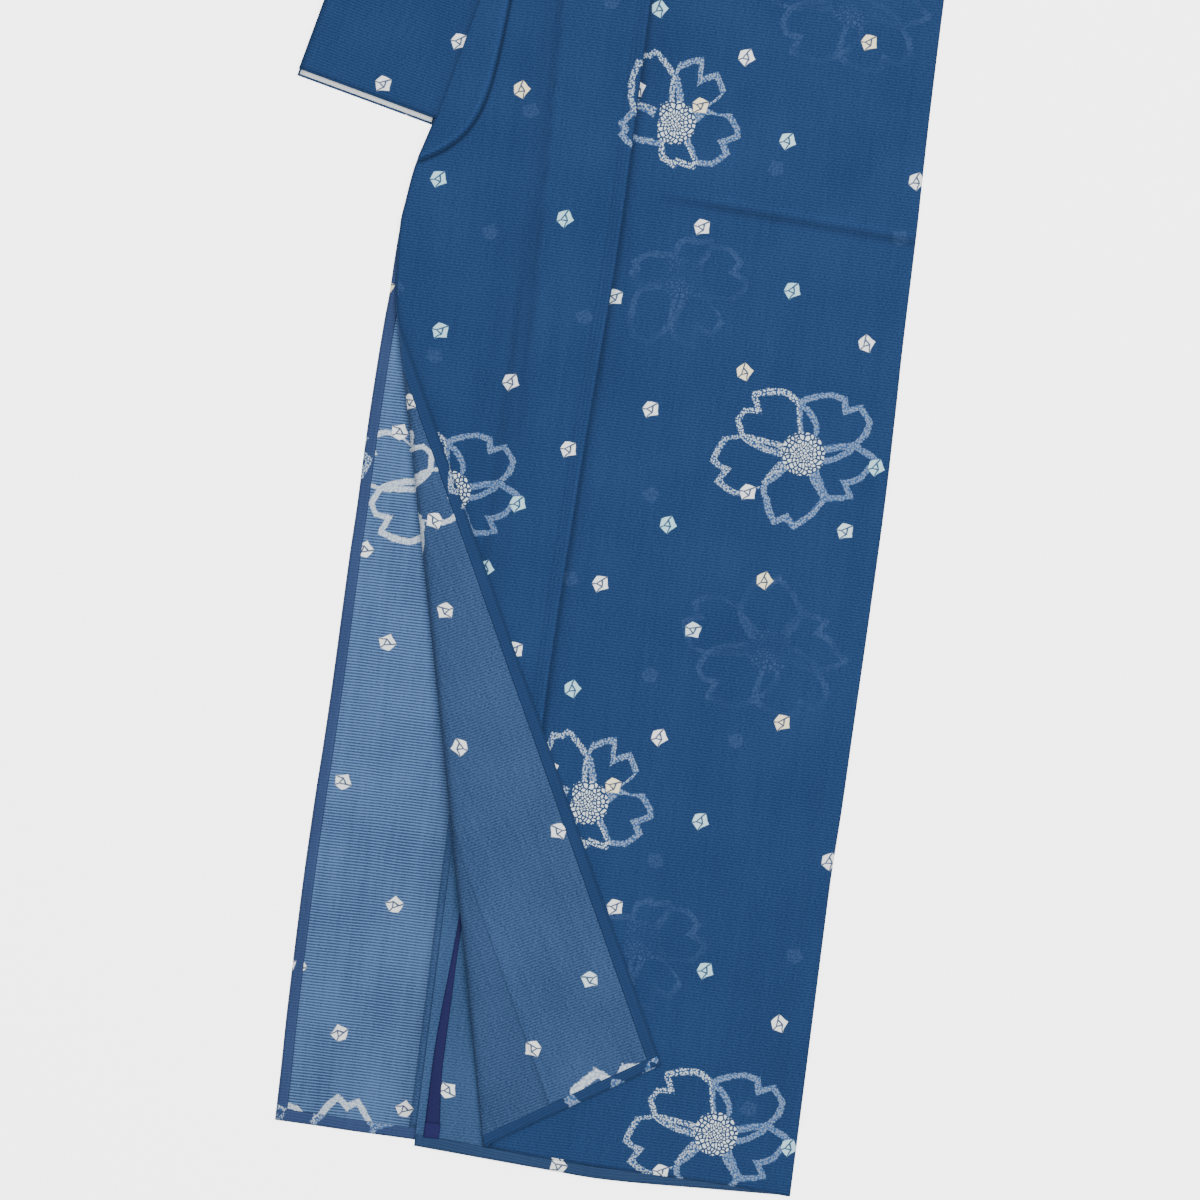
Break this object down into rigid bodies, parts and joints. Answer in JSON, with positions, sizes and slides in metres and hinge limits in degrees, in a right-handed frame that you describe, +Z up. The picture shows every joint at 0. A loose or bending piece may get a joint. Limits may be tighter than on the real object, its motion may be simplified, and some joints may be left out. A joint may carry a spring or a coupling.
{
  "type": "kimono",
  "caption": "Unlined summer kimono laid flat and folded in half at the centre back, with the upper front's lower corner turned back to show the wrong side.",
  "frame": {"origin": "middle of the laid garment's box, on the surface it lies on", "axes": "+Y from the hem to the shoulder, +X from the open front edge towards the side seam and sleeves, +Z up off the surface"},
  "size_m": [0.8502, 1.6012, 0.0133],
  "materials": {
    "ro_cloth": "matt open ribbed ro weave in indigo blue with a resist-style cherry flower print",
    "collar_lining": "plain smooth white silk",
    "seam_tape": "thin violet blue silk tape"
  },
  "bodies": {
    "root": {"body_upper": "ro_cloth", "body_lower": "ro_cloth", "okumi_upper": "ro_cloth", "okumi_lower": "ro_cloth", "collar": "ro_cloth", "collar_lining_upper": "collar_lining", "collar_lining_lower": "collar_lining", "back_seam_tape": "seam_tape", "sleeve_upper": "ro_cloth", "sleeve_lower": "ro_cloth"}
  },
  "joints": []
}
